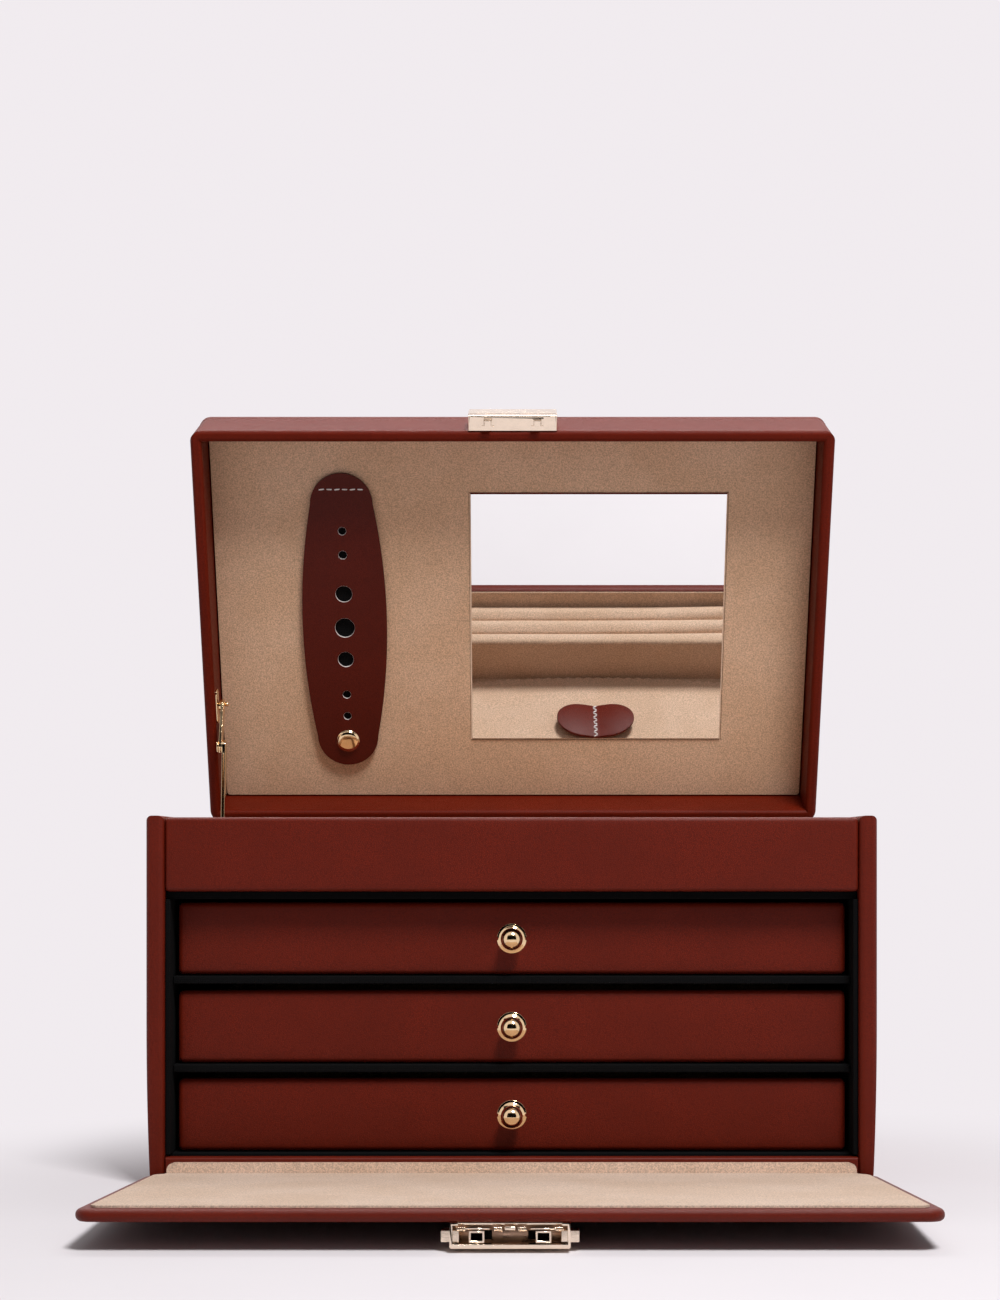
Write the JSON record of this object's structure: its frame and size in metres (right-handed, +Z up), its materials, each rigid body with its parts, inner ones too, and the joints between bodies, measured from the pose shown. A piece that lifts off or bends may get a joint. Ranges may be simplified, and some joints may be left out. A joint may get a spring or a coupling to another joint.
{
  "type": "jewellery case",
  "caption": "Leather-covered jewellery case with a hinged mirror lid over a lined ring tray, a stack of pull-out drawers and a drop-down front flap with a push-button lock.",
  "frame": {"origin": "centre of the case's underside, on the surface it stands on", "axes": "+X to the right as seen from the front, +Y to the rear, +Z up; rest pose has the lid open and the front flap laid down"},
  "size_m": [0.28, 0.346, 0.3229],
  "materials": {
    "leather_brown": "smooth grained leather over padded board, satin",
    "suede_beige": "brushed microfibre suede",
    "board_black": "board covered in fine black fabric",
    "gold_metal": "polished pale gold plating",
    "mirror_silver": "silvered glass with a narrow bevel"
  },
  "bodies": {
    "case": {"side_panel_left": "leather_brown", "side_panel_right": "leather_brown", "rear_panel": "leather_brown", "base_board": "board_black", "base_cover": "leather_brown", "bottom_rail": "leather_brown", "cabinet_floor": "board_black", "drawer_shelf_lower": "board_black", "drawer_shelf_upper": "board_black", "cabinet_liner": "board_black", "front_fascia": "leather_brown", "tray_board": "board_black", "tray_lining": "suede_beige", "ring_roll_front": "suede_beige", "ring_roll_middle": "suede_beige", "ring_roll_rear": "suede_beige", "tray_divider": "suede_beige", "tray_cross_divider": "suede_beige", "flap_hinge_strip": "suede_beige", "lid_hinge_strip": "leather_brown", "stay_bracket": "gold_metal"},
    "cover": {"tray_cover": "suede_beige", "cover_tab": "leather_brown"},
    "drawer_bottom": {"drawer_front_bottom": "leather_brown", "drawer_box_bottom": "board_black", "drawer_lining_bottom": "suede_beige", "drawer_knob_bottom": "gold_metal"},
    "drawer_middle": {"drawer_front_middle": "leather_brown", "drawer_box_middle": "board_black", "drawer_lining_middle": "suede_beige", "drawer_knob_middle": "gold_metal"},
    "drawer_top": {"drawer_front_top": "leather_brown", "drawer_box_top": "board_black", "drawer_lining_top": "suede_beige", "drawer_knob_top": "gold_metal"},
    "lid": {"lid_frame": "leather_brown", "lid_top_panel": "leather_brown", "lid_lining_panel": "suede_beige", "lid_hinge_leaf": "leather_brown", "mirror_glass": "mirror_silver", "strap_root": "leather_brown", "snap_stud": "gold_metal", "lock_keeper": "gold_metal", "stay_lid_plate": "gold_metal"},
    "strap": {"earring_strap": "leather_brown", "snap_cap": "gold_metal"},
    "stay_arm_body": {"stay_arm": "gold_metal"},
    "stay_link_body": {"stay_link": "gold_metal"},
    "flap": {"flap_board": "leather_brown", "flap_lining": "suede_beige", "lock_case": "gold_metal", "lock_latch": "gold_metal"},
    "button_left": {"lock_button_left": "gold_metal"},
    "button_right": {"lock_button_right": "gold_metal"}
  },
  "joints": [
    {"name": "lid_hinge", "type": "hinge", "parent": "case", "child": "lid", "pos_m": [0, 0.087, 0.1424], "axis": [-1, 0, 0], "range_deg": [-68.8, 0]},
    {"name": "flap_hinge", "type": "hinge", "parent": "case", "child": "flap", "pos_m": [0, -0.0873, 0.0054], "axis": [1, 0, 0], "range_deg": [-86.1, 0]},
    {"name": "drawer_bottom_slide", "type": "slide", "parent": "case", "child": "drawer_bottom", "axis": [0, -1, 0], "range_m": [0, 0.1]},
    {"name": "drawer_middle_slide", "type": "slide", "parent": "case", "child": "drawer_middle", "axis": [0, -1, 0], "range_m": [0, 0.1]},
    {"name": "drawer_top_slide", "type": "slide", "parent": "case", "child": "drawer_top", "axis": [0, -1, 0], "range_m": [0, 0.1]},
    {"name": "cover_hinge", "type": "hinge", "parent": "case", "child": "cover", "pos_m": [0, 0.07964, 0.12215], "axis": [-1, 0, 0], "range_deg": [0, 70]},
    {"name": "strap_hinge", "type": "hinge", "parent": "lid", "child": "strap", "pos_m": [-0.0766, 0.04968, 0.28839], "axis": [-1, 0, 0], "range_deg": [0, 55]},
    {"name": "button_left_push", "type": "slide", "parent": "flap", "child": "button_left", "axis": [1, 0, 0], "range_m": [0, 0.0015], "stiffness_N_per_m": 300, "springref_m": -0.0005},
    {"name": "button_right_push", "type": "slide", "parent": "flap", "child": "button_right", "axis": [-1, 0, 0], "range_m": [0, 0.0015], "stiffness_N_per_m": 300, "springref_m": -0.0005},
    {"name": "stay_arm_pivot", "type": "hinge", "parent": "case", "child": "stay_arm_body", "pos_m": [-0.1305, 0.059, 0.1184], "axis": [-1, 0, 0], "range_deg": [-56.94, 0.2]},
    {"name": "stay_knuckle", "type": "hinge", "parent": "stay_arm_body", "child": "stay_link_body", "pos_m": [-0.1322, 0.0654, 0.17572], "axis": [-1, 0, 0], "range_deg": [-0.2, 150.18]}
  ],
  "couplings": [
    {"joint": "stay_arm_pivot", "follows": "lid_hinge", "ratio": 0.82464},
    {"joint": "stay_knuckle", "follows": "lid_hinge", "ratio": -2.18}
  ]
}
